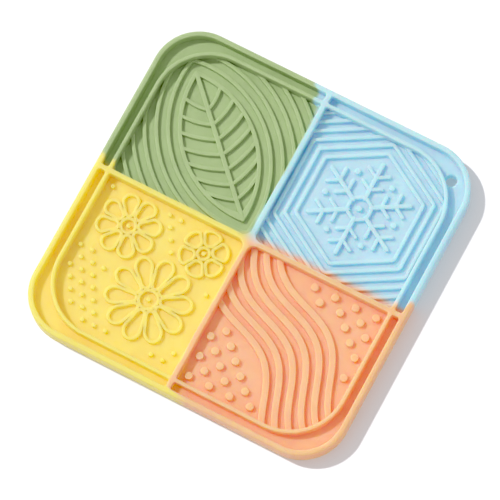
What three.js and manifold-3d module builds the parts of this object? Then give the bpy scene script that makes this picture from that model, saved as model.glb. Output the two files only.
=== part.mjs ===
// A square lick mat moulded in one piece from soft silicone rubber.
// Units are millimetres and +Z is up. The origin is the middle of the flat underside.
//
// A rim runs round the outside. Inside it a ring wall, with a channel between the two, and a cross
// of two divider walls part the floor into four pockets. Each pocket has its own raised relief:
// a leaf, a frost star, daisies, and bold waves with studs.

import * as THREE from 'three';
import { mergeVertices } from 'three/addons/utils/BufferGeometryUtils.js';
import Module from 'manifold-3d';

// Body
const MAT_WIDTH = 200;
const MAT_HEIGHT = 12;
const MAT_CORNER = 28;
const MAT_CHAMFER = 0.8;
const FLOOR_TOP = 5.4;
const CHANNEL_FLOOR_TOP = 6.4;
const RIM_WIDTH = 3.2;

// Walls inside the rim: the ring, placed by the middle of its wall, and the cross of dividers
const RING_REACH = 91;
const RING_WIDTH = 2.2;
const RING_CORNER = 33;
const DIVIDER_WIDTH = 3.1;
const DIVIDER_FILLET = 4.5;

// Hang hole, in the channel's floor on the corner's diagonal
const HOLE_DIAMETER = 6.6;
const HOLE_PLACE = 84.6;
const HOLE_SIDES = 20;

// Reliefs: high ridges in three pockets, and lower, narrower lines in the daisy pocket
const RIDGE_HEIGHT = 2.4;
const HEAVY_HEIGHT = 2.5;
const FINE_HEIGHT = 2.3;
const LINE_HEIGHT = 2.2;
const RIDGE_ROOT = 0.6;
const WALL_BITE = 0.7;

// How far a straight step may leave its arc, and how far a cut runs past the faces it opens
const WALL_CHORD_ERROR = 0.1;
const RIDGE_CHORD_ERROR = 0.2;
const CUT_PAST = 1;

// Colour: the mean of the four quarters
const RUBBER_COLOUR = 0xe2d2a0;

// Places in a pocket are [u, v], both counted outward from the mat's middle. These signs turn them
// into the mat's X and Y.
const LEAF_SIDE = [-1, 1];
const STAR_SIDE = [1, 1];
const DAISY_SIDE = [-1, -1];
const WAVE_SIDE = [1, -1];
const SIDES = [LEAF_SIDE, STAR_SIDE, DAISY_SIDE, WAVE_SIDE];

const wasm = await Module();
wasm.setup();

// Solids

function toSolid(geometry) {
  geometry.deleteAttribute('normal');
  geometry.deleteAttribute('uv');
  const merged = mergeVertices(geometry, 1e-4);
  const vertProperties = new Float32Array(merged.attributes.position.array);
  const triVerts = new Uint32Array(merged.index.array);
  return new wasm.Manifold(new wasm.Mesh({ numProp: 3, vertProperties, triVerts }));
}

function toGeometry(solid) {
  const mesh = solid.getMesh();
  const geometry = new THREE.BufferGeometry();
  geometry.setAttribute('position', new THREE.BufferAttribute(mesh.vertProperties, 3));
  geometry.setIndex(new THREE.BufferAttribute(mesh.triVerts, 1));
  geometry.computeVertexNormals();
  return geometry;
}

function prism(shape, bottom, top, chamfer = 0) {
  const geometry = new THREE.ExtrudeGeometry(shape, {
    depth: top - bottom - 2 * chamfer,
    steps: 1,
    bevelEnabled: chamfer > 0,
    bevelThickness: chamfer,
    bevelSize: chamfer,
    bevelOffset: -chamfer,
    bevelSegments: 1,
  });
  geometry.translate(0, 0, bottom + chamfer);
  return toSolid(geometry);
}

function join(solids) {
  return solids.reduce((whole, piece) => whole.add(piece));
}

// Paths

function arcPath([u, v], radius, from, to, chordError) {
  const step = 2 * Math.acos(1 - chordError / radius);
  const count = Math.max(2, Math.ceil(Math.abs(to - from) / step));
  return Array.from({ length: count + 1 }, (_, index) => {
    const turn = from + (to - from) * index / count;
    return [u + radius * Math.cos(turn), v + radius * Math.sin(turn)];
  });
}

function circlePath([u, v], radius, sides) {
  return Array.from({ length: sides }, (_, index) => {
    const turn = (index + 0.5) * 2 * Math.PI / sides;
    return [u + radius * Math.cos(turn), v + radius * Math.sin(turn)];
  });
}

// The path as an outline in the mat's X and Y. A mirrored one is turned about to run anticlockwise.
function outlineOf(path, [signU, signV] = [1, 1], outline = new THREE.Shape()) {
  const points = path.map(([u, v]) => new THREE.Vector2(u * signU, v * signV));
  return outline.setFromPoints(signU * signV < 0 ? points.reverse() : points);
}

// Body with its pockets and its channel

function roundedSquare(reach, corner) {
  const bend = reach - corner;
  return [0, 1, 2, 3].flatMap((quarter) => {
    const turn = quarter * Math.PI / 2;
    const arc = arcPath([bend, bend], corner, 0, Math.PI / 2, WALL_CHORD_ERROR);
    return arc.map(([u, v]) => {
      const place = new THREE.Vector2(u, v).rotateAround(new THREE.Vector2(), turn);
      return [place.x, place.y];
    });
  });
}

// A pocket's outline: the dividers' faces with a fillet between them, and the ring wall's inner face
function pocketOutline(grow) {
  const near = DIVIDER_WIDTH / 2 - grow;
  const far = RING_REACH - RING_WIDTH / 2 + grow;
  const bend = RING_REACH - RING_CORNER;
  const fillet = near + DIVIDER_FILLET;
  return [
    ...arcPath([fillet, fillet], DIVIDER_FILLET, Math.PI, 1.5 * Math.PI, WALL_CHORD_ERROR),
    [far, near],
    ...arcPath([bend, bend], far - bend, 0, Math.PI / 2, WALL_CHORD_ERROR),
    [near, far],
  ];
}

// One quarter of the channel: from divider to divider, between the ring wall and the rim
function channelOutline() {
  const near = DIVIDER_WIDTH / 2;
  const ringFace = RING_REACH + RING_WIDTH / 2;
  const ringBend = RING_REACH - RING_CORNER;
  const rimFace = MAT_WIDTH / 2 - RIM_WIDTH;
  const rimBend = MAT_WIDTH / 2 - MAT_CORNER;
  return [
    [rimFace, near],
    ...arcPath([rimBend, rimBend], rimFace - rimBend, 0, Math.PI / 2, WALL_CHORD_ERROR),
    [near, rimFace],
    [near, ringFace],
    ...arcPath([ringBend, ringBend], ringFace - ringBend, Math.PI / 2, 0, WALL_CHORD_ERROR),
    [ringFace, near],
  ];
}

function makeBody() {
  const block = prism(outlineOf(roundedSquare(MAT_WIDTH / 2, MAT_CORNER)), 0, MAT_HEIGHT, MAT_CHAMFER);
  const hollows = SIDES.flatMap((side) => [
    prism(outlineOf(pocketOutline(0), side), FLOOR_TOP, MAT_HEIGHT + CUT_PAST),
    prism(outlineOf(channelOutline(), side), CHANNEL_FLOOR_TOP, MAT_HEIGHT + CUT_PAST),
  ]);
  return block.subtract(join(hollows));
}

function makeHangHole() {
  const outline = outlineOf(circlePath([HOLE_PLACE, HOLE_PLACE], HOLE_DIAMETER / 2, HOLE_SIDES));
  return prism(outline, -CUT_PAST, CHANNEL_FLOOR_TOP + CUT_PAST);
}

// Ridges and studs, which root a little below the floor

// One side of a ridge: its path moved sideways, to the left if the distance is positive
function besidePath(path, distance, closed) {
  const last = path.length - 1;
  return path.map((place, index) => {
    const before = path[closed && index === 0 ? last : Math.max(index - 1, 0)];
    const after = path[closed && index === last ? 0 : Math.min(index + 1, last)];
    const here = new THREE.Vector2(...place);
    const arriving = here.clone().sub(new THREE.Vector2(...before)).normalize();
    const leaving = new THREE.Vector2(...after).sub(here).normalize();
    const heading = arriving.clone().add(leaving).normalize();
    const straight = arriving.length() > 0 ? arriving : leaving;
    const mitre = distance / heading.dot(straight);
    return [here.x - heading.y * mitre, here.y + heading.x * mitre];
  });
}

function raise(outline, height) {
  return prism(outline, FLOOR_TOP - RIDGE_ROOT, FLOOR_TOP + height);
}

function ridge(path, width, height, side) {
  const left = besidePath(path, width / 2, false);
  const right = besidePath(path, -width / 2, false);
  return raise(outlineOf([...right, ...left.reverse()], side), height);
}

// A ridge along a closed path that runs anticlockwise
function loopRidge(path, width, height, side) {
  const outline = outlineOf(besidePath(path, -width / 2, true), side);
  outline.holes.push(outlineOf(besidePath(path, width / 2, true), side, new THREE.Path()));
  return raise(outline, height);
}

function stud(place, diameter, height, sides, side) {
  return raise(outlineOf(circlePath(place, diameter / 2, sides), side), height);
}

// Trims ridges that run on into the walls
function trim(solid, side) {
  return solid.intersect(prism(outlineOf(pocketOutline(WALL_BITE), side), 0, MAT_HEIGHT));
}

function insidePocket([u, v], margin) {
  const least = DIVIDER_WIDTH / 2 + margin;
  const most = RING_REACH - RING_WIDTH / 2 - margin;
  const bend = RING_REACH - RING_CORNER;
  const reach = bend + Math.hypot(Math.max(u - bend, 0), Math.max(v - bend, 0));
  return Math.min(u, v) > least && reach < most;
}

// Places along and across a pocket's diagonal, which runs from the mat's middle to the outer corner
function onDiagonal([along, across]) {
  return [(along - across) * Math.SQRT1_2, (along + across) * Math.SQRT1_2];
}

// Leaf pocket: one leaf along the diagonal, its veins, and ridges that echo its edge

const LEAF = { middle: 60, halfLength: 46, halfWidth: 21, edge: 2.4, midrib: 2.6 };
const ECHOES = { count: 6, pitch: 6.8, width: 2.2 };
const VEINS = { count: 8, first: 17, pitch: 9.4, sweep: 11, width: 2.0 };
const VEIN_ROOT = 0.5;
const VEIN_BEND = { along: 0.35, across: 0.6 };

const LEAF_RADIUS = (LEAF.halfLength ** 2 + LEAF.halfWidth ** 2) / (2 * LEAF.halfWidth);
const LEAF_CENTRE = LEAF_RADIUS - LEAF.halfWidth;

// Two arcs that meet in a point at both ends of the leaf
function leafLoop(echo) {
  const radius = LEAF_RADIUS + echo * ECHOES.pitch;
  const spread = Math.acos(LEAF_CENTRE / radius);
  const start = 1.5 * Math.PI - spread;
  const half = arcPath([LEAF.middle, LEAF_CENTRE], radius, start, start + 2 * spread, RIDGE_CHORD_ERROR);
  const otherHalf = half.map(([along, across]) => [2 * LEAF.middle - along, -across]);
  return [...half.slice(0, -1), ...otherHalf.slice(0, -1)].map(onDiagonal);
}

function leafVein(hand, index) {
  const root = VEINS.first + VEINS.pitch * index;
  const tip = root + VEINS.sweep;
  const reach = Math.sqrt(LEAF_RADIUS ** 2 - (tip - LEAF.middle) ** 2) - LEAF_CENTRE;
  const curve = new THREE.QuadraticBezierCurve(
    new THREE.Vector2(root, VEIN_ROOT),
    new THREE.Vector2(root + VEINS.sweep * VEIN_BEND.along, reach * VEIN_BEND.across),
    new THREE.Vector2(tip, reach),
  );
  return curve.getPoints(3).map(({ x, y }) => onDiagonal([x, y * hand]));
}

function makeLeafRelief() {
  const side = LEAF_SIDE;
  const midrib = [-LEAF.halfLength, LEAF.halfLength].map((end) => onDiagonal([LEAF.middle + end, 0]));
  const pieces = [
    ridge(midrib, LEAF.midrib, HEAVY_HEIGHT, side),
    loopRidge(leafLoop(0), LEAF.edge, RIDGE_HEIGHT, side),
  ];
  for (const hand of [-1, 1]) {
    for (let index = 0; index < VEINS.count; index += 1) {
      pieces.push(ridge(leafVein(hand, index), VEINS.width, FINE_HEIGHT, side));
    }
  }
  for (let echo = 1; echo <= ECHOES.count; echo += 1) {
    pieces.push(loopRidge(leafLoop(echo), ECHOES.width, RIDGE_HEIGHT, side));
  }
  return trim(join(pieces), side);
}

// Frost star pocket: a six-armed star with twigs on its arms, and six-sided frames round it

const STAR = { middle: [46, 46], reach: 29, hub: 6.5, arm: 2.4 };
const TWIG = { width: 2.0, root: 0.7 };
const TWIGS = [
  { along: 12.5, length: 7 },
  { along: 20.5, length: 7.5 },
];
const STAR_STUD = { place: 22, diameter: 3.4, sides: 8 };
const FRAMES = { first: 31.5, count: 7, pitch: 5.3, width: 2.0 };

function fromPlace([u, v], distance, turn) {
  return [u + distance * Math.cos(turn), v + distance * Math.sin(turn)];
}

function hexagon(flatReach) {
  return circlePath(STAR.middle, flatReach / Math.cos(Math.PI / 6), 6);
}

function makeStarRelief() {
  const side = STAR_SIDE;
  const pieces = [
    stud(STAR.middle, STAR_STUD.diameter, RIDGE_HEIGHT, STAR_STUD.sides, side),
    loopRidge(hexagon(STAR.hub), TWIG.width, RIDGE_HEIGHT, side),
  ];
  for (let arm = 0; arm < 6; arm += 1) {
    const turn = Math.PI / 6 + arm * Math.PI / 3;
    const ends = [STAR.hub, STAR.reach].map((distance) => fromPlace(STAR.middle, distance, turn));
    pieces.push(ridge(ends, STAR.arm, HEAVY_HEIGHT, side));
    for (const { along, length } of TWIGS) {
      const joint = fromPlace(STAR.middle, along, turn);
      for (const heading of [turn - Math.PI / 3, turn + Math.PI / 3]) {
        const twig = [fromPlace(joint, TWIG.root, heading), fromPlace(joint, length, heading)];
        pieces.push(ridge(twig, TWIG.width, FINE_HEIGHT, side));
      }
    }
    const between = fromPlace(STAR.middle, STAR_STUD.place, turn + Math.PI / 6);
    pieces.push(stud(between, STAR_STUD.diameter, RIDGE_HEIGHT, STAR_STUD.sides, side));
  }
  for (let frame = 0; frame < FRAMES.count; frame += 1) {
    const path = hexagon(FRAMES.first + frame * FRAMES.pitch);
    pieces.push(loopRidge(path, FRAMES.width, RIDGE_HEIGHT, side));
  }
  return trim(join(pieces), side);
}

// Daisy pocket: flowers in narrow lines, with dots between them

const LINE_WIDTH = 1.8;
const DAISIES = [
  { middle: [35, 56], reach: 25, eye: 6.5, petals: 10 },
  { middle: [66, 23], reach: 18.5, eye: 5.2, petals: 8 },
  { middle: [20, 18], reach: 14, eye: 4.4, petals: 6 },
];
const PETAL_START = 1.1;
const PETAL_PARTING = 1.4;
const PETAL_WIDEST = 0.7;
const PETAL_HALF = [
  { along: 0, across: 0.36 },
  { along: 0.38, across: 0.78 },
  { along: PETAL_WIDEST, across: 1 },
  { along: 1, across: 0.42 },
];
const DOTS = { diameter: 2.6, sides: 6, pitch: 7.4, margin: 4.2 };

function petalPath({ middle, reach, eye, petals }, index) {
  const start = eye + PETAL_START;
  const length = reach - start;
  const room = Math.tan(Math.PI / petals) * (start + length * PETAL_WIDEST);
  const halfWidth = room - (LINE_WIDTH + PETAL_PARTING) / 2;
  const outward = PETAL_HALF.map(({ along, across }) => [start + length * along, -halfWidth * across]);
  const back = outward.map(([along, across]) => [along, -across]).reverse();
  const turn = (index + 0.5) * 2 * Math.PI / petals;
  return [...outward, ...back].map(([along, across]) => {
    const rib = fromPlace(middle, along, turn);
    return fromPlace(rib, across, turn + Math.PI / 2);
  });
}

function makeDaisy(daisy, side) {
  const eye = circlePath(daisy.middle, daisy.eye - LINE_WIDTH / 2, daisy.petals);
  const pieces = [
    loopRidge(eye, LINE_WIDTH, LINE_HEIGHT, side),
    stud(daisy.middle, DOTS.diameter, LINE_HEIGHT, DOTS.sides, side),
  ];
  for (let index = 0; index < daisy.petals; index += 1) {
    pieces.push(loopRidge(petalPath(daisy, index), LINE_WIDTH, LINE_HEIGHT, side));
  }
  return pieces;
}

function outsideDaisies(place, margin) {
  return DAISIES.every(({ middle, reach }) => (
    Math.hypot(place[0] - middle[0], place[1] - middle[1]) > reach + margin
  ));
}

function makeDots(side) {
  const rowPitch = DOTS.pitch * Math.sin(Math.PI / 3);
  const pieces = [];
  for (let row = 0; row * rowPitch < RING_REACH; row += 1) {
    for (let column = 0; column * DOTS.pitch < RING_REACH; column += 1) {
      const place = [(column + (row % 2) / 2) * DOTS.pitch, row * rowPitch];
      if (outsideDaisies(place, DOTS.margin) && insidePocket(place, DOTS.margin)) {
        pieces.push(stud(place, DOTS.diameter, LINE_HEIGHT, DOTS.sides, side));
      }
    }
  }
  return pieces;
}

function makeDaisyRelief() {
  return join([...DAISIES.flatMap((daisy) => makeDaisy(daisy, DAISY_SIDE)), ...makeDots(DAISY_SIDE)]);
}

// Wave pocket: bold waves along the diagonal, with round studs on both sides of them

const WAVES = { count: 6, pitch: 7.8, width: 3.8, swing: 7, length: 92, end: 120, steps: 18 };
const STUDS = { diameter: 4.6, sides: 8, pitch: 13, margin: 4.8, clearance: 7 };

function waveSwing(along) {
  return WAVES.swing * Math.sin(2 * Math.PI * along / WAVES.length);
}

function makeWaves(side) {
  const pieces = [];
  for (let wave = 0; wave < WAVES.count; wave += 1) {
    const offset = (wave - (WAVES.count - 1) / 2) * WAVES.pitch;
    const path = Array.from({ length: WAVES.steps + 1 }, (_, index) => {
      const along = WAVES.end * index / WAVES.steps;
      return onDiagonal([along, offset + waveSwing(along)]);
    });
    pieces.push(ridge(path, WAVES.width, HEAVY_HEIGHT, side));
  }
  return pieces;
}

function makeStuds(side) {
  const bandHalf = (WAVES.count - 1) / 2 * WAVES.pitch + STUDS.clearance;
  const rowPitch = STUDS.pitch / 2;
  const pieces = [];
  for (let row = 0; row * rowPitch < RING_REACH; row += 1) {
    for (let column = 0; column * STUDS.pitch < RING_REACH; column += 1) {
      const [u, v] = [(column + (row % 2) / 2) * STUDS.pitch, row * rowPitch];
      const across = (v - u) * Math.SQRT1_2 - waveSwing((u + v) * Math.SQRT1_2);
      if (Math.abs(across) > bandHalf && insidePocket([u, v], STUDS.margin)) {
        pieces.push(stud([u, v], STUDS.diameter, RIDGE_HEIGHT, STUDS.sides, side));
      }
    }
  }
  return pieces;
}

function makeWaveRelief() {
  return trim(join([...makeWaves(WAVE_SIDE), ...makeStuds(WAVE_SIDE)]), WAVE_SIDE);
}

// The whole mat

function makeMat() {
  const reliefs = [makeLeafRelief(), makeStarRelief(), makeDaisyRelief(), makeWaveRelief()];
  const solid = join([makeBody(), ...reliefs]).subtract(makeHangHole());
  const rubber = new THREE.MeshStandardMaterial({ color: RUBBER_COLOUR, roughness: 0.55, metalness: 0 });
  const mesh = new THREE.Mesh(toGeometry(solid), rubber);
  mesh.name = 'mat';
  return mesh;
}

const lickMat = new THREE.Group();
lickMat.add(makeMat());

export default lickMat;
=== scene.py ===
import math

import bmesh
import bpy
from mathutils import Matrix, Vector
from mathutils.geometry import delaunay_2d_cdt


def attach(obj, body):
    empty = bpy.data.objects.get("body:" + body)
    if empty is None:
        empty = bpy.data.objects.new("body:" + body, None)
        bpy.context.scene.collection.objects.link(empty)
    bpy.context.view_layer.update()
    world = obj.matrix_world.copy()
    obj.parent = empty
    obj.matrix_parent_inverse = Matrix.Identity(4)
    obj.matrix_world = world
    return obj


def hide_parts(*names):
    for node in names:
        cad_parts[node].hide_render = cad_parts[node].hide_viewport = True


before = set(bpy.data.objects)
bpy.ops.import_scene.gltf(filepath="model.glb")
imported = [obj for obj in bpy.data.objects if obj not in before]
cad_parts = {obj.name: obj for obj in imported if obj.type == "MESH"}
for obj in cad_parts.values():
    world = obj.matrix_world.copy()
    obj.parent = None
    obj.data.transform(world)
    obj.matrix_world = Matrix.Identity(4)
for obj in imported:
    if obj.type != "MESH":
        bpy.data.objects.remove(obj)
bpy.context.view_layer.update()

# Camera
# It looks down on the mat from above the orange quarter, far off through a long lens and turned a
# little about its own axis. Places are in metres, in the mat's frame.
CAMERA_AZIMUTH = math.radians(40.79)
CAMERA_ELEVATION = math.radians(73.66)
CAMERA_ROLL = math.radians(-13.02)
CAMERA_DISTANCE = 2.3753
CAMERA_TARGET = Vector((0.00099, -0.00236, 0.0))
CAMERA_SENSOR = 36.0
CAMERA_LENS = 301.03

camera_back = Vector((
    math.sin(CAMERA_AZIMUTH) * math.cos(CAMERA_ELEVATION),
    -math.cos(CAMERA_AZIMUTH) * math.cos(CAMERA_ELEVATION),
    math.sin(CAMERA_ELEVATION),
))
level_right = Vector((math.cos(CAMERA_AZIMUTH), math.sin(CAMERA_AZIMUTH), 0.0))
level_up = camera_back.cross(level_right)
camera_right = math.cos(CAMERA_ROLL) * level_right + math.sin(CAMERA_ROLL) * level_up
camera_up = camera_back.cross(camera_right)
camera_data = bpy.data.cameras.new("camera")
camera_data.sensor_width = CAMERA_SENSOR
camera_data.lens = CAMERA_LENS
camera = bpy.data.objects.new("camera", camera_data)
turn = Matrix((camera_right, camera_up, camera_back)).transposed()
camera.matrix_world = Matrix.Translation(CAMERA_TARGET + camera_back * CAMERA_DISTANCE) @ turn.to_4x4()
bpy.context.scene.collection.objects.link(camera)
bpy.context.scene.camera = camera

# Body: rim, channel, ring wall and cross of dividers
# One thick slab of soft silicone rubber, open at the top where the mould's cores stood. Each core
# left a pocket or a quarter of the channel, with a rounded lip and a small fillet at its foot.
MILLIMETRE = 0.001
MAT_REACH = 100.0
MAT_HEIGHT = 12.0
MAT_CORNER = 28.0
FLOOR_TOP = 5.4
CHANNEL_FLOOR_TOP = 6.4
RIM_WIDTH = 3.2
RING_REACH = 91.0
RING_WIDTH = 2.2
RING_CORNER = 33.0
DIVIDER_WIDTH = 3.1
CROSSING_FILLET = 4.5
JOINT_FILLET = 1.3
RIM_ROUNDING = 1.3
BASE_ROUNDING = 0.8
LIP_ROUNDING = 0.65
WALL_DRAFT = 0.12
FOOT_FILLET = 0.6
WALL_STEPS = 24
CROSSING_STEPS = 10
JOINT_STEPS = 6
ROUNDING_STEPS = 3
CAP_SPACING = 6.0
CAP_ROOM = 2.0
INSIDE_ONLY = 1
SAME_PLACE = 1e-5
CUT_PAST = 1.0
LEAF_SIDE = (-1, 1)
STAR_SIDE = (1, 1)
DAISY_SIDE = (-1, -1)
WAVE_SIDE = (1, -1)


def arc(middle, radius, start, end, steps):
    """Places along an arc. Its angles are in quarter turns."""
    angles = [(start + (end - start) * step / steps) * math.pi / 2 for step in range(steps + 1)]
    return [Vector((middle[0] + radius * math.cos(a), middle[1] + radius * math.sin(a))) for a in angles]


def rounding(middle, radius, start, end):
    """A rounded edge in section: (reach, height) along an arc."""
    return [tuple(place) for place in arc(middle, radius, start, end, ROUNDING_STEPS)]


def rounded_square(reach, corner):
    bend = reach - corner
    path = []
    for quarter in range(4):
        a = quarter * math.pi / 2
        middle = (bend * (math.cos(a) - math.sin(a)), bend * (math.sin(a) + math.cos(a)))
        path += arc(middle, corner, quarter, quarter + 1, WALL_STEPS)
    return path


def pocket_outline(grow):
    """The faces of two dividers, with a fillet between them, and the ring wall's inner face."""
    near = DIVIDER_WIDTH / 2
    far = RING_REACH - RING_WIDTH / 2
    bend = RING_REACH - RING_CORNER
    crossing = near + CROSSING_FILLET
    low = near + JOINT_FILLET
    high = far - JOINT_FILLET
    return [
        *arc((crossing, crossing), CROSSING_FILLET + grow, 2, 3, CROSSING_STEPS),
        *arc((high, low), JOINT_FILLET + grow, -1, 0, JOINT_STEPS),
        *arc((bend, bend), far - bend + grow, 0, 1, WALL_STEPS),
        *arc((low, high), JOINT_FILLET + grow, 1, 2, JOINT_STEPS),
    ]


def channel_outline(grow):
    """A quarter of the channel, from divider to divider, between the rim and the ring wall."""
    near = DIVIDER_WIDTH / 2
    rim_face = MAT_REACH - RIM_WIDTH
    rim_bend = MAT_REACH - MAT_CORNER
    ring_face = RING_REACH + RING_WIDTH / 2
    ring_bend = RING_REACH - RING_CORNER
    low = near + JOINT_FILLET
    out = rim_face - JOINT_FILLET
    back = ring_face + JOINT_FILLET
    return [
        *arc((out, low), JOINT_FILLET + grow, -1, 0, JOINT_STEPS),
        *arc((rim_bend, rim_bend), rim_face - rim_bend + grow, 0, 1, WALL_STEPS),
        *arc((low, out), JOINT_FILLET + grow, 1, 2, JOINT_STEPS),
        *arc((low, back), JOINT_FILLET + grow, 2, 3, JOINT_STEPS),
        *arc((ring_bend, ring_bend), ring_face - ring_bend - grow, 1, 0, WALL_STEPS),
        *arc((back, low), JOINT_FILLET + grow, 2, 3, JOINT_STEPS),
    ]


def on_side(path, side):
    return [Vector((place.x * side[0], place.y * side[1])) for place in path]


def turned_left(path):
    """Whether a closed path runs anticlockwise."""
    return sum(path[index - 1].cross(place) for index, place in enumerate(path)) > 0


def cap(path, spacing):
    """Even triangles that fill an outline, and the places inside it that they need."""
    order = list(range(len(path)))
    if not turned_left(path):
        order.reverse()
    inner = []
    if spacing:
        low = Vector((min(place.x for place in path), min(place.y for place in path)))
        high = Vector((max(place.x for place in path), max(place.y for place in path)))
        steps = [int((high - low)[axis] / spacing) for axis in (0, 1)]
        grid = [low + Vector((column + 0.5, row + 0.5)) * spacing
                for column in range(steps[0]) for row in range(steps[1])]
        inner = [place for place in grid if min((place - edge).length for edge in path) > CAP_ROOM]
    filled = delaunay_2d_cdt([*path, *inner], [], [order], INSIDE_ONLY, SAME_PLACE)
    triangles = filled[2]
    sources = [source[0] for source in filled[3]]
    return [[sources[index] for index in triangle] for triangle in triangles], inner


def stack(levels, spacing=0):
    """Points and faces of a closed solid, from its outlines and their heights, top to bottom."""
    count = len(levels[0][0])
    points = [(place.x, place.y, height) for path, height in levels for place in path]
    faces = []
    for level in range(len(levels) - 1):
        above = level * count
        below = above + count
        for index in range(count):
            after = (index + 1) % count
            faces.append([above + index, below + index, below + after, above + after])
    for path, height, edge in ((*levels[0], 0), (*levels[-1], count * (len(levels) - 1))):
        triangles, inner = cap(path, spacing)
        first = len(points)
        points += [(place.x, place.y, height) for place in inner]
        for triangle in triangles:
            faces.append([edge + index if index < count else first + index - count for index in triangle])
    return points, faces


def mould(name, pieces):
    """One object, in millimetres, from solids that don't touch each other, with every face outward."""
    points = []
    faces = []
    for piece_points, piece_faces in pieces:
        first = len(points)
        points += piece_points
        faces += [[first + index for index in face] for face in piece_faces]
    mesh = bpy.data.meshes.new(name)
    mesh.from_pydata(points, [], faces)
    thing = bpy.data.objects.new(name, mesh)
    bpy.context.scene.collection.objects.link(thing)
    bpy.context.view_layer.objects.active = thing
    bpy.ops.object.mode_set(mode="EDIT")
    bpy.ops.mesh.select_all(action="SELECT")
    bpy.ops.mesh.normals_make_consistent(inside=False)
    bpy.ops.object.mode_set(mode="OBJECT")
    return thing


def combine(body, tools, operation):
    """Joins the tools to the body, cuts them away, or keeps what they share. The tools are used up."""
    held = bpy.data.collections.new("held")
    for tool in tools:
        held.objects.link(tool)
    step = body.modifiers.new(operation.lower(), "BOOLEAN")
    step.operation = operation
    step.solver = "MANIFOLD"
    step.operand_type = "COLLECTION"
    step.collection = held
    bpy.context.view_layer.objects.active = body
    bpy.ops.object.modifier_apply(modifier=step.name)
    for tool in tools:
        bpy.data.objects.remove(tool)
    bpy.data.collections.remove(held)


def slab_levels():
    top = rounding((MAT_REACH - RIM_ROUNDING, MAT_HEIGHT - RIM_ROUNDING), RIM_ROUNDING, 1, 0)
    base = rounding((MAT_REACH - BASE_ROUNDING, BASE_ROUNDING), BASE_ROUNDING, 0, -1)
    sections = top + base
    return [
        (rounded_square(reach, MAT_CORNER - MAT_REACH + reach), height) for reach, height in sections
    ]


def core_levels(outline, floor, side):
    lip = rounding((LIP_ROUNDING, MAT_HEIGHT - LIP_ROUNDING), LIP_ROUNDING, 1, 2)
    foot_reach = -WALL_DRAFT - FOOT_FILLET
    foot = rounding((foot_reach, floor + FOOT_FILLET), FOOT_FILLET, 0, -1)
    sections = [(LIP_ROUNDING, MAT_HEIGHT + CUT_PAST), *lip, *foot]
    return [(on_side(outline(grow), side), height) for grow, height in sections]


mat = mould("mat_body", [stack(slab_levels(), CAP_SPACING)])
cores = []
for side in (LEAF_SIDE, STAR_SIDE, DAISY_SIDE, WAVE_SIDE):
    cores.append(stack(core_levels(pocket_outline, FLOOR_TOP, side), CAP_SPACING))
    cores.append(stack(core_levels(channel_outline, CHANNEL_FLOOR_TOP, side), CAP_SPACING))

# Hang hole
# A round hole through the channel's floor at the blue corner, moulded in, with both of its edges
# broken so that a hook doesn't tear them.
HOLE_PLACE = 84.6
HOLE_RADIUS = 3.3
HOLE_EDGE = 0.6
HOLE_SIDES = 48


def circle(middle, radius, sides):
    return arc(middle, radius, 0, 4, sides)[:-1]


hole_sections = [
    (HOLE_RADIUS + HOLE_EDGE, CHANNEL_FLOOR_TOP + CUT_PAST),
    (HOLE_RADIUS + HOLE_EDGE, CHANNEL_FLOOR_TOP),
    (HOLE_RADIUS, CHANNEL_FLOOR_TOP - HOLE_EDGE),
    (HOLE_RADIUS, HOLE_EDGE),
    (HOLE_RADIUS + HOLE_EDGE, 0),
    (HOLE_RADIUS + HOLE_EDGE, -CUT_PAST),
]
hole_middle = (HOLE_PLACE, HOLE_PLACE)
hole_levels = [(circle(hole_middle, radius, HOLE_SIDES), height) for radius, height in hole_sections]
combine(mat, [mould("cores", cores), mould("hole_core", [stack(hole_levels)])], "DIFFERENCE")

# Leaf pocket
# One long leaf lies along the green pocket's diagonal, with a midrib and curved veins. Smooth
# moulded ridges echo its edge out to the walls.
RIDGE_HEIGHT = 2.4
HEAVY_HEIGHT = 2.5
RIDGE_ROOT = 0.6
RIDGE_ROUNDING = 0.4
RIDGE_DRAFT = 0.08
RIDGE_FOOT = 0.3
FLARE_END = 2.75
FLARE_REACH = 1.15
FLARE_DIP_PARTS = 3
SHARP_TURN = math.radians(20)
CORNER_STEPS = 5
CAP_STEPS = 6
WALL_BITE = 0.7
LEAF_MIDDLE = 60.0
LEAF_HALF_LENGTH = 46.0
LEAF_HALF_WIDTH = 21.0
LEAF_EDGE = 2.4
LEAF_MIDRIB = 2.6
LEAF_RADIUS = (LEAF_HALF_LENGTH ** 2 + LEAF_HALF_WIDTH ** 2) / (2 * LEAF_HALF_WIDTH)
LEAF_CENTRE = LEAF_RADIUS - LEAF_HALF_WIDTH
LEAF_STEPS = 26
LEAF_TIP = 2.0
ECHO_COUNT = 6
ECHO_PITCH = 6.8
ECHO_WIDTH = 2.2
VEIN_COUNT = 8
VEIN_FIRST = 17.0
VEIN_PITCH = 9.4
VEIN_SWEEP = 11.0
VEIN_BEND_ALONG = 0.35
VEIN_BEND_ACROSS = 0.6
VEIN_WIDTH = 2.0
VEIN_HEIGHT = 2.3
VEIN_STEPS = 10


def ridge_section(width, height, edge=RIDGE_ROUNDING, foot=RIDGE_FOOT):
    """Half of a ridge in section, from the edge of its flat top down to its root. Its foot flares
    out to the floor, and dips under it by a part of the foot's fillet."""
    half = width / 2
    top = rounding((half - edge, FLOOR_TOP + height - edge), edge, 1, 0)
    face = half + RIDGE_DRAFT
    flare = rounding((face + foot, FLOOR_TOP + foot), foot, 2, FLARE_END)
    out = face + foot * FLARE_REACH
    return [*top, *flare, (out, FLOOR_TOP - foot / FLARE_DIP_PARTS), (out, FLOOR_TOP - RIDGE_ROOT)]


def heading(start, end):
    step = end - start
    return step.normalized() if step.length > 0 else step


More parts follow.
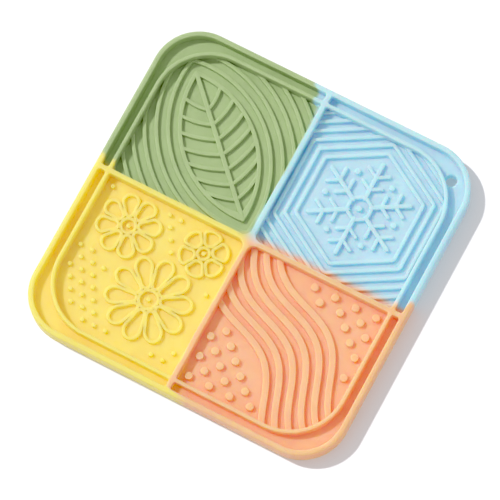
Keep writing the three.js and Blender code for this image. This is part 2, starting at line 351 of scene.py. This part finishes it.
def beside(path, distance, closed):
    """The path moved sideways, to the left if the distance is positive, with mitred corners."""
    last = len(path) - 1
    moved = []
    for index, here in enumerate(path):
        before = path[index - 1] if index > 0 or closed else here
        after = path[0 if index == last else index + 1] if index < last or closed else here
        arriving = heading(before, here)
        leaving = heading(here, after)
        along = (arriving + leaving).normalized()
        straight = arriving if arriving.length > 0 else leaving
        mitre = distance / along.dot(straight)
        moved.append(here + Vector((-along.y, along.x)) * mitre)
    return moved


def round_cap(end, facing, radius):
    """The places of a half circle round a ridge's end, from its right to its left."""
    middle = math.atan2(facing.y, facing.x)
    turns = [middle - math.pi / 2 + math.pi * step / CAP_STEPS for step in range(1, CAP_STEPS)]
    return [end + Vector((math.cos(a), math.sin(a))) * radius for a in turns]


def ridge(path, section, side):
    """A ridge along an open path, with a round cap at each end."""
    levels = []
    for reach, height in section:
        right = beside(path, -reach, False)
        left = beside(path, reach, False)
        end_cap = round_cap(path[-1], heading(path[-2], path[-1]), reach)
        start_cap = round_cap(path[0], heading(path[1], path[0]), reach)
        levels.append((on_side([*right, *end_cap, *reversed(left), *start_cap], side), height))
    return stack(levels)


def loop_ridge(path, section, side):
    """A ridge along a closed path: an outer and an inner skin, joined by its top and its root."""
    count = len(path)
    rows = [(beside(path, reach, True), height) for reach, height in reversed(section)]
    rows += [(beside(path, -reach, True), height) for reach, height in section]
    points = [(place.x, place.y, height) for row, height in rows for place in on_side(row, side)]
    faces = []
    for row in range(len(rows)):
        here = row * count
        there = (row + 1) % len(rows) * count
        for index in range(count):
            after = (index + 1) % count
            faces.append([here + index, there + index, there + after, here + after])
    return points, faces


def softened(path, cut):
    """A closed path with each sharp corner replaced by a short curve."""
    soft = []
    for index, here in enumerate(path):
        before = path[index - 1]
        after = path[(index + 1) % len(path)]
        arriving = heading(before, here)
        leaving = heading(here, after)
        if arriving.angle(leaving) < SHARP_TURN:
            soft.append(here)
            continue
        first = here - arriving * cut
        last = here + leaving * cut
        for step in range(CORNER_STEPS + 1):
            share = step / CORNER_STEPS
            soft.append(first.lerp(here, share).lerp(here.lerp(last, share), share))
    return soft


def trimmed(name, pieces, side):
    """Ridges that run on into the walls, cut off a little inside them."""
    relief = mould(name, pieces)
    outline = on_side(pocket_outline(WALL_BITE), side)
    space = mould("pocket_space", [stack([(outline, MAT_HEIGHT), (outline, 0)])])
    combine(relief, [space], "INTERSECT")
    return relief


def on_diagonal(along, across):
    """A place in a pocket, from its place along and across the pocket's diagonal."""
    return Vector((along - across, along + across)) * math.sqrt(0.5)


def leaf_loop(echo):
    """The leaf's edge, or an echo of it: two arcs that meet in a point at both ends."""
    radius = LEAF_RADIUS + echo * ECHO_PITCH
    spread = math.acos(LEAF_CENTRE / radius) / (math.pi / 2)
    half = arc((LEAF_MIDDLE, LEAF_CENTRE), radius, 3 - spread, 3 + spread, LEAF_STEPS)
    other_half = [Vector((2 * LEAF_MIDDLE - place.x, -place.y)) for place in half]
    loop = [on_diagonal(place.x, place.y) for place in half[:-1] + other_half[:-1]]
    return softened(loop, LEAF_TIP)


def leaf_vein(hand, index):
    root = VEIN_FIRST + VEIN_PITCH * index
    tip = root + VEIN_SWEEP
    reach = math.sqrt(LEAF_RADIUS ** 2 - (tip - LEAF_MIDDLE) ** 2) - LEAF_CENTRE
    start = Vector((root, 0.0))
    bend = Vector((root + VEIN_SWEEP * VEIN_BEND_ALONG, reach * VEIN_BEND_ACROSS))
    end = Vector((tip, reach))
    curve = []
    for step in range(VEIN_STEPS + 1):
        share = step / VEIN_STEPS
        curve.append(start.lerp(bend, share).lerp(bend.lerp(end, share), share))
    return [on_diagonal(place.x, place.y * hand) for place in curve]


leaf_section = ridge_section(LEAF_EDGE, RIDGE_HEIGHT)
echo_section = ridge_section(ECHO_WIDTH, RIDGE_HEIGHT)
leaf_ridges = [loop_ridge(leaf_loop(0), leaf_section, LEAF_SIDE)]
leaf_ridges += [loop_ridge(leaf_loop(echo), echo_section, LEAF_SIDE) for echo in range(1, ECHO_COUNT + 1)]
reliefs = [trimmed("leaf_edges", leaf_ridges, LEAF_SIDE)]
vein_section = ridge_section(VEIN_WIDTH, VEIN_HEIGHT)
for hand in (-1, 1):
    veins = [ridge(leaf_vein(hand, index), vein_section, LEAF_SIDE) for index in range(VEIN_COUNT)]
    reliefs.append(mould("leaf_veins", veins))
midrib = [on_diagonal(LEAF_MIDDLE + end, 0) for end in (-LEAF_HALF_LENGTH, LEAF_HALF_LENGTH)]
midrib_ridge = ridge(midrib, ridge_section(LEAF_MIDRIB, HEAVY_HEIGHT), LEAF_SIDE)
reliefs.append(mould("leaf_midrib", [midrib_ridge]))

# Frost star pocket
# A six-armed frost star with twigs on its arms stands in the blue pocket, in a set of six-sided
# ridges that run out to the walls. Each twig is given by its place along the arm and its length.
STAR_MIDDLE = (46.0, 46.0)
STAR_REACH = 29.0
STAR_HUB = 6.5
STAR_ARM = 2.4
TWIG_WIDTH = 2.0
TWIG_HEIGHT = 2.3
TWIGS = ((12.5, 7.0), (20.5, 7.5))
STAR_STUD_PLACE = 22.0
STAR_STUD_DIAMETER = 3.4
STUD_SIDES = 16
FRAME_FIRST = 31.5
FRAME_COUNT = 7
FRAME_PITCH = 5.3
FRAME_WIDTH = 2.0
FRAME_CORNER = 1.4


def from_place(place, distance, angle):
    return Vector((place[0] + distance * math.cos(angle), place[1] + distance * math.sin(angle)))


def stud(middle, diameter, height, side, edge=RIDGE_ROUNDING):
    section = ridge_section(diameter, height, edge)
    levels = [(on_side(circle(middle, reach, STUD_SIDES), side), level) for reach, level in section]
    return stack(levels)


def hexagon(flat_reach):
    corners = [
        from_place(STAR_MIDDLE, flat_reach / math.cos(math.pi / 6), (corner + 0.5) * math.pi / 3)
        for corner in range(6)
    ]
    return softened(corners, FRAME_CORNER)


arm_section = ridge_section(STAR_ARM, HEAVY_HEIGHT)
twig_section = ridge_section(TWIG_WIDTH, TWIG_HEIGHT)
frame_section = ridge_section(FRAME_WIDTH, RIDGE_HEIGHT)
star_loops = [loop_ridge(hexagon(FRAME_FIRST + ring * FRAME_PITCH), frame_section, STAR_SIDE)
              for ring in range(FRAME_COUNT)]
reliefs.append(trimmed("star_frames", star_loops, STAR_SIDE))
star_centre = [
    stud(STAR_MIDDLE, STAR_STUD_DIAMETER, RIDGE_HEIGHT, STAR_SIDE),
    loop_ridge(hexagon(STAR_HUB), frame_section, STAR_SIDE),
]
arms = []
twigs = {-1: [], 1: []}
for arm in range(6):
    angle = (arm + 0.5) * math.pi / 3
    ends = [from_place(STAR_MIDDLE, distance, angle) for distance in (STAR_HUB, STAR_REACH)]
    arms.append(ridge(ends, arm_section, STAR_SIDE))
    between = from_place(STAR_MIDDLE, STAR_STUD_PLACE, angle + math.pi / 6)
    star_centre.append(stud(between, STAR_STUD_DIAMETER, RIDGE_HEIGHT, STAR_SIDE))
    for along, length in TWIGS:
        joint = from_place(STAR_MIDDLE, along, angle)
        for hand in twigs:
            twig = [joint, from_place(joint, length, angle + hand * math.pi / 3)]
            twigs[hand].append(ridge(twig, twig_section, STAR_SIDE))
reliefs += [mould("star_centre", star_centre), mould("star_arms", arms)]
reliefs += [mould("star_twigs", twigs[hand]) for hand in twigs]

# Daisy pocket
# Three daisies in narrow lines fill most of the yellow pocket, and small dots fill the room
# between them. Each daisy is given by its middle, its reach, its eye's radius and its petals.
LINE_WIDTH = 1.8
LINE_HEIGHT = 2.2
LINE_ROUNDING = 0.4
LINE_FOOT = 0.25
DAISIES = (((35.0, 56.0), 25.0, 6.5, 10), ((66.0, 23.0), 18.5, 5.2, 8), ((20.0, 18.0), 14.0, 4.4, 6))
PETAL_START = 1.1
PETAL_PARTING = 1.4
PETAL_WIDEST = 0.7
PETAL_HALF = ((0.0, 0.38), (0.38, 0.76), (PETAL_WIDEST, 1.0), (0.93, 0.62))
PETAL_STEPS = 3
EYE_SIDES = 36
DOT_DIAMETER = 2.6
DOT_PITCH = 7.4
DOT_MARGIN = 4.2


def through(knots, steps):
    """A smooth closed curve through the knots."""
    curve = []
    for index, here in enumerate(knots):
        before = knots[index - 1]
        after = knots[(index + 1) % len(knots)]
        beyond = knots[(index + 2) % len(knots)]
        for step in range(steps):
            t = step / steps
            lean = (after - before) * 0.5
            next_lean = (beyond - here) * 0.5
            curve.append(
                here * (2 * t ** 3 - 3 * t ** 2 + 1) + after * (3 * t ** 2 - 2 * t ** 3)
                + lean * (t ** 3 - 2 * t ** 2 + t) + next_lean * (t ** 3 - t ** 2)
            )
    return curve


def petal(middle, reach, eye, petals, index):
    """A petal's edge. Its half is given in shares of its length and of its half width."""
    start = eye + PETAL_START
    length = reach - start
    room = math.tan(math.pi / petals) * (start + length * PETAL_WIDEST)
    half_width = room - (LINE_WIDTH + PETAL_PARTING) / 2
    right = [(start + length * along, -half_width * across) for along, across in PETAL_HALF]
    left = [(along, -across) for along, across in reversed(right)]
    angle = (index + 0.5) * 2 * math.pi / petals
    knots = []
    for along, across in [*right, (reach, 0.0), *left]:
        rib = from_place(middle, along, angle)
        knots.append(from_place(rib, across, angle + math.pi / 2))
    return through(knots, PETAL_STEPS)


def inside_pocket(place, margin):
    bend = RING_REACH - RING_CORNER
    reach = bend + math.hypot(max(place[0] - bend, 0), max(place[1] - bend, 0))
    return min(place) > DIVIDER_WIDTH / 2 + margin and reach < RING_REACH - RING_WIDTH / 2 - margin


def outside_daisies(place):
    return all(math.dist(place, middle) > reach + DOT_MARGIN for middle, reach, *_ in DAISIES)


line_section = ridge_section(LINE_WIDTH, LINE_HEIGHT, LINE_ROUNDING, LINE_FOOT)
eyes_and_dots = []
petal_turns = ([], [])
for middle, reach, eye, petals in DAISIES:
    eye_path = circle(middle, eye - LINE_WIDTH / 2, EYE_SIDES)
    eyes_and_dots.append(loop_ridge(eye_path, line_section, DAISY_SIDE))
    eyes_and_dots.append(stud(middle, DOT_DIAMETER, LINE_HEIGHT, DAISY_SIDE, LINE_ROUNDING))
    for index in range(petals):
        petal_path = petal(middle, reach, eye, petals, index)
        petal_turns[index % 2].append(loop_ridge(petal_path, line_section, DAISY_SIDE))
dot_row_pitch = DOT_PITCH * math.sin(math.pi / 3)
for row in range(int(RING_REACH / dot_row_pitch) + 1):
    for column in range(int(RING_REACH / DOT_PITCH) + 1):
        place = ((column + row % 2 / 2) * DOT_PITCH, row * dot_row_pitch)
        if outside_daisies(place) and inside_pocket(place, DOT_MARGIN):
            eyes_and_dots.append(stud(place, DOT_DIAMETER, LINE_HEIGHT, DAISY_SIDE, LINE_ROUNDING))
reliefs.append(mould("daisy_eyes_and_dots", eyes_and_dots))
reliefs += [mould("daisy_petals", every_other) for every_other in petal_turns]

# Wave pocket
# Bold waves cross the orange pocket along its diagonal, and round studs stand in rows on both
# sides of them.
WAVE_COUNT = 6
WAVE_PITCH = 7.8
WAVE_WIDTH = 3.8
WAVE_SWING = 7.0
WAVE_LENGTH = 92.0
WAVE_END = 120.0
WAVE_STEPS = 60
STUD_DIAMETER = 4.6
STUD_PITCH = 13.0
STUD_MARGIN = 4.8
STUD_CLEARANCE = 7.0


def wave_swing(along):
    return WAVE_SWING * math.sin(2 * math.pi * along / WAVE_LENGTH)


wave_section = ridge_section(WAVE_WIDTH, HEAVY_HEIGHT)
waves = []
for wave in range(WAVE_COUNT):
    offset = (wave - (WAVE_COUNT - 1) / 2) * WAVE_PITCH
    stations = [WAVE_END * step / WAVE_STEPS for step in range(WAVE_STEPS + 1)]
    wave_path = [on_diagonal(along, offset + wave_swing(along)) for along in stations]
    waves.append(ridge(wave_path, wave_section, WAVE_SIDE))
reliefs.append(trimmed("waves", waves, WAVE_SIDE))
studs = []
band_half = (WAVE_COUNT - 1) / 2 * WAVE_PITCH + STUD_CLEARANCE
for row in range(int(RING_REACH / STUD_PITCH * 2) + 1):
    for column in range(int(RING_REACH / STUD_PITCH) + 1):
        place = ((column + row % 2 / 2) * STUD_PITCH, row * STUD_PITCH / 2)
        across = (place[1] - place[0]) * math.sqrt(0.5) - wave_swing(sum(place) * math.sqrt(0.5))
        if abs(across) > band_half and inside_pocket(place, STUD_MARGIN):
            studs.append(stud(place, STUD_DIAMETER, RIDGE_HEIGHT, WAVE_SIDE))
reliefs.append(mould("wave_studs", studs))

# The moulded mat
# Satin silicone rubber in four soft colours, poured together into one mould: green, blue, yellow
# and orange run into each other in soft, slightly wandering borders near the dividers. Each border
# is given by its middle and half its width, in millimetres, on every part that it crosses.
WELD_UNDER = 0.004
SMOOTH_UNDER = math.radians(38)
GREEN = (0.401, 0.510, 0.258)
BLUE = (0.500, 0.730, 0.830)
YELLOW = (0.935, 0.714, 0.186)
ORANGE = (0.920, 0.478, 0.279)
SATIN = (0.45, 0.56)
SATIN_SCALE = 0.3
SATIN_DETAIL = 4.0
RUBBER_IOR = 1.42
RUBBER_GLOSS = 0.5
GREEN_GLOW = (0.001, 0.001, 0.001)
BLUE_GLOW = (0.0014, 0.006, 0.009)
YELLOW_GLOW = (0.008, 0.008, 0.0016)
ORANGE_GLOW = (0.010, 0.0065, 0.0016)
NOISE_RANGE = (0.3, 0.7)
NOISE_MIDDLE = 0.5
MOTTLE = (0.965, 1.03)
MOTTLE_SCALE = 0.09
MOTTLE_DETAIL = 6.0
GRAIN_SCALE = 2.6
GRAIN_DETAIL = 3.0
GRAIN_BUMP = 0.12
GRAIN_DEPTH = 0.0002
WANDER = 4.0
WANDER_SCALE = 0.055
WANDER_DETAIL = 2.0
LIP_DROP = 0.5
FLOOR_LIFT = 0.6
SIDE_SPREAD = 2.0
FLOOR_END_FADE = (60.0, 86.0)
RING_FADE = (88.5, 90.0)
RIM_FADE = (96.0, 98.5)
CROSSING_FADE = (12.0, 3.0)
CROSSING_SOFTNESS = 5.0
YELLOW_TO_GREEN = {
    "divider": (1.6, 0.8), "floor": (2.0, 1.4), "floor_end": (2.0, 1.4),
    "ring": (6.0, 2.5), "channel": (2.5, 4.0), "rim": (7.0, 2.5),
}
ORANGE_TO_BLUE = {
    "divider": (1.8, 1.0), "floor": (5.0, 3.2), "floor_end": (4.5, 4.0),
    "ring": (5.5, 3.0), "channel": (4.2, 2.5), "rim": (9.8, 2.0),
}
GREEN_TO_BLUE = {
    "divider": (-1.4, 0.8), "floor": (-1.9, 1.2), "floor_end": (-2.6, 2.0),
    "ring": (-6.5, 1.5), "channel": (-6.5, 1.5), "rim": (-10.5, 2.2),
}
YELLOW_TO_ORANGE = {
    "divider": (-1.2, 0.8), "floor": (-1.2, 1.0), "floor_end": (2.5, 4.0),
    "ring": (-1.0, 1.2), "channel": (5.0, 6.0), "rim": (9.0, 6.0),
}

rubber = bpy.data.materials.new("satin_silicone")
rubber.use_nodes = True
tree = rubber.node_tree
tree.nodes.clear()


def node(kind, **settings):
    made = tree.nodes.new(kind)
    for name, value in settings.items():
        setattr(made, name, value)
    return made


def feed(socket, value):
    """Sets a socket, or links it where the value is another node's socket."""
    if isinstance(value, bpy.types.NodeSocket):
        tree.links.new(value, socket)
    else:
        socket.default_value = value


def math_node(operation, *values):
    made = node("ShaderNodeMath", operation=operation)
    for socket, value in zip(made.inputs, values):
        feed(socket, value)
    return made.outputs[0]


def ramp(value, start, end, low=0.0, high=1.0):
    """A smooth change from low to high, while the value goes from start to end."""
    made = node("ShaderNodeMapRange", interpolation_type="SMOOTHSTEP")
    for socket, setting in zip(made.inputs, (value, start, end, low, high)):
        feed(socket, setting)
    return made.outputs[0]


def blend(share, first, second):
    """A mix of two colours or of two numbers, by a share from 0 to 1."""
    plain = not isinstance(first, (tuple, bpy.types.NodeSocketColor))
    made = node("ShaderNodeMix", data_type="FLOAT" if plain else "RGBA")
    kind = "VALUE" if plain else "RGBA"
    sockets = [socket for socket in made.inputs[1:] if socket.type == kind]
    feed(made.inputs[0], share)
    for socket, value in zip(sockets, (first, second)):
        feed(socket, (*value, 1.0) if isinstance(value, tuple) else value)
    return next(socket for socket in made.outputs if socket.type == kind)


def noise(scale, detail):
    """Even noise over the mat. The scale counts its waves in a millimetre."""
    made = node("ShaderNodeTexNoise")
    feed(made.inputs["Vector"], places)
    feed(made.inputs["Scale"], scale)
    feed(made.inputs["Detail"], detail)
    return made


# Places in the mat, in millimetres. The borders wander a little to both sides.
metres = node("ShaderNodeTexCoord").outputs["Object"]
places = node("ShaderNodeVectorMath", operation="SCALE").outputs[0]
feed(places.node.inputs[0], metres)
feed(places.node.inputs["Scale"], 1 / MILLIMETRE)
across_mat, up_mat, height = node("ShaderNodeSeparateXYZ").outputs
feed(across_mat.node.inputs[0], places)
wander_x, wander_y = node("ShaderNodeSeparateColor").outputs[:2]
feed(wander_x.node.inputs[0], noise(WANDER_SCALE, WANDER_DETAIL).outputs["Color"])
x = math_node("MULTIPLY_ADD", math_node("SUBTRACT", wander_x, NOISE_MIDDLE), WANDER, across_mat)
y = math_node("MULTIPLY_ADD", math_node("SUBTRACT", wander_y, NOISE_MIDDLE), WANDER, up_mat)
reach_x = math_node("ABSOLUTE", across_mat)
reach_y = math_node("ABSOLUTE", up_mat)
low_down = ramp(height, MAT_HEIGHT - LIP_DROP, FLOOR_TOP + FLOOR_LIFT)


def border(place, reach, stands):
    """How far a place has crossed the border between two colours, from 0 to 1. The stands give the
    border's middle and half its width on the divider, on the floor beside it, on the floor near
    the ring wall, on the ring wall, on the channel's floor and on the rim."""
    halves = []
    for divider, floor, floor_end, ring, channel, rim in zip(*stands.values()):
        along_floor = blend(ramp(reach, *FLOOR_END_FADE), floor, floor_end)
        inner = blend(low_down, divider, along_floor)
        outer = blend(low_down, ring, channel)
        within_rim = blend(ramp(reach, *RING_FADE), inner, outer)
        halves.append(blend(ramp(reach, *RIM_FADE), within_rim, rim))
    middle, half = halves
    half = math_node("MAXIMUM", half, ramp(reach, *CROSSING_FADE, 0.0, CROSSING_SOFTNESS))
    return ramp(place, math_node("SUBTRACT", middle, half), math_node("ADD", middle, half))


upper = ramp(up_mat, -SIDE_SPREAD, SIDE_SPREAD)
left_share = border(y, reach_x, YELLOW_TO_GREEN)
right_share = border(y, reach_x, ORANGE_TO_BLUE)
side_share = blend(upper, border(x, reach_y, YELLOW_TO_ORANGE), border(x, reach_y, GREEN_TO_BLUE))


def quarters(green, blue, yellow, orange):
    """One value for each quarter, run together at the borders."""
    return blend(side_share, blend(left_share, yellow, green), blend(right_share, orange, blue))


mottle = noise(MOTTLE_SCALE, MOTTLE_DETAIL)
tone = node("ShaderNodeHueSaturation")
feed(tone.inputs["Value"], ramp(mottle.outputs["Fac"], *NOISE_RANGE, *MOTTLE))
feed(tone.inputs["Color"], quarters(GREEN, BLUE, YELLOW, ORANGE))

grain = noise(GRAIN_SCALE, GRAIN_DETAIL)
grain_bump = node("ShaderNodeBump")
feed(grain_bump.inputs["Strength"], GRAIN_BUMP)
feed(grain_bump.inputs["Distance"], GRAIN_DEPTH)
feed(grain_bump.inputs["Height"], grain.outputs["Fac"])

satin = noise(SATIN_SCALE, SATIN_DETAIL)
shader = node("ShaderNodeBsdfPrincipled", subsurface_method="RANDOM_WALK")
feed(shader.inputs["Base Color"], tone.outputs["Color"])
feed(shader.inputs["Roughness"], ramp(satin.outputs["Fac"], *NOISE_RANGE, *SATIN))
feed(shader.inputs["IOR"], RUBBER_IOR)
feed(shader.inputs["Specular IOR Level"], RUBBER_GLOSS)
feed(shader.inputs["Subsurface Weight"], 1.0)
feed(shader.inputs["Subsurface Radius"], quarters(GREEN_GLOW, BLUE_GLOW, YELLOW_GLOW, ORANGE_GLOW))
feed(shader.inputs["Subsurface Scale"], 1.0)
feed(shader.inputs["Normal"], grain_bump.outputs["Normal"])
output = node("ShaderNodeOutputMaterial")
feed(output.inputs["Surface"], shader.outputs["BSDF"])

combine(mat, reliefs, "UNION")
work = bmesh.new()
work.from_mesh(mat.data)
bmesh.ops.remove_doubles(work, verts=work.verts[:], dist=WELD_UNDER)
bmesh.ops.dissolve_degenerate(work, edges=work.edges[:], dist=WELD_UNDER)
bmesh.ops.triangulate(work, faces=work.faces[:])
work.to_mesh(mat.data)
work.free()
mat.data.transform(Matrix.Scale(MILLIMETRE, 4))
mat.name = "lick_mat"
mat.data.name = "lick_mat"
mat.data.materials.clear()
mat.data.materials.append(rubber)
mat.data.polygons.foreach_set("use_smooth", [True] * len(mat.data.polygons))
mat.data.set_sharp_from_angle(angle=SMOOTH_UNDER)
weighting = mat.modifiers.new("weighted_normals", "WEIGHTED_NORMAL")
weighting.keep_sharp = True
bpy.context.view_layer.objects.active = mat
bpy.ops.object.modifier_apply(modifier=weighting.name)
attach(mat, "root")
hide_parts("mat")

# Table
# A plain matt white table top, a hair below the mat's underside. It throws no light back on to the
# mat's outer walls.
TABLE_REACH = 3.0
TABLE_DROP = 0.0001
TABLE_WHITE = (0.895, 0.885, 0.915, 1.0)
TABLE_ROUGHNESS = 0.9
TABLE_GLOSS = 0.1
table_mesh = bpy.data.meshes.new("table")
table_corners = [
    (x_sign * TABLE_REACH, y_sign * TABLE_REACH, -TABLE_DROP)
    for x_sign, y_sign in ((-1, -1), (1, -1), (1, 1), (-1, 1))
]
table_mesh.from_pydata(table_corners, [], [(0, 1, 2, 3)])
table = bpy.data.objects.new("table", table_mesh)
bpy.context.scene.collection.objects.link(table)
table_white = bpy.data.materials.new("table_white")
table_white.use_nodes = True
table_shader = table_white.node_tree.nodes["Principled BSDF"]
table_shader.inputs["Base Color"].default_value = TABLE_WHITE
table_shader.inputs["Roughness"].default_value = TABLE_ROUGHNESS
table_shader.inputs["Specular IOR Level"].default_value = TABLE_GLOSS
table_mesh.materials.append(table_white)
table.visible_diffuse = False

# Light
# One hard lamp to the left of the mat throws a crisp shadow along +X, turned a little towards -Y. A
# second one in the same place lifts the table alone to full white, and a white room fills in the rest.
LAMP_ELEVATION = math.radians(49)
LAMP_TURN = math.radians(-4)
LAMP_STRENGTH = 2.03
TABLE_LAMP_STRENGTH = 1.4
LAMP_ANGLE = math.radians(3)
ROOM_WHITE = (1.0, 1.0, 1.0, 1.0)
ROOM_STRENGTH = 0.687
lamp_data = bpy.data.lights.new("lamp", "SUN")
lamp_data.energy = LAMP_STRENGTH
lamp_data.angle = LAMP_ANGLE
lamp = bpy.data.objects.new("lamp", lamp_data)
travel = Vector((
    math.cos(LAMP_TURN) * math.cos(LAMP_ELEVATION),
    math.sin(LAMP_TURN) * math.cos(LAMP_ELEVATION),
    -math.sin(LAMP_ELEVATION),
))
lamp.rotation_euler = travel.to_track_quat("-Z", "Y").to_euler()
bpy.context.scene.collection.objects.link(lamp)
table_lamp = lamp.copy()
table_lamp.data = lamp_data.copy()
table_lamp.data.energy = TABLE_LAMP_STRENGTH
bpy.context.scene.collection.objects.link(table_lamp)
lit_by_it = bpy.data.collections.new("lit_by_table_lamp")
lit_by_it.objects.link(table)
table_lamp.light_linking.receiver_collection = lit_by_it
room = bpy.data.worlds.new("room")
room.use_nodes = True
background = room.node_tree.nodes["Background"]
background.inputs["Color"].default_value = ROOM_WHITE
background.inputs["Strength"].default_value = ROOM_STRENGTH
bpy.context.scene.world = room

# Tones
# Bright tones roll off gently, as in a photo developed with soft highlights, and the darkest ones
# go to black.
BLACK_LEVEL = 0.0357
WHITE_LEVEL = 1.15
ROLL_OFF = 2.63
TONE_STEPS = 8
COMBINED_CURVE = 3
view = bpy.context.scene.view_settings
view.view_transform = "Standard"
view.look = "None"
view.use_curve_mapping = True
tones = view.curve_mapping
tones.black_level = (BLACK_LEVEL, BLACK_LEVEL, BLACK_LEVEL)
tones.white_level = (WHITE_LEVEL, WHITE_LEVEL, WHITE_LEVEL)
tone_curve = tones.curves[COMBINED_CURVE]
for step in range(1, TONE_STEPS):
    share = step / TONE_STEPS
    tone_curve.points.new(share, (1 + ROLL_OFF) * share / (share + ROLL_OFF))
tones.update()
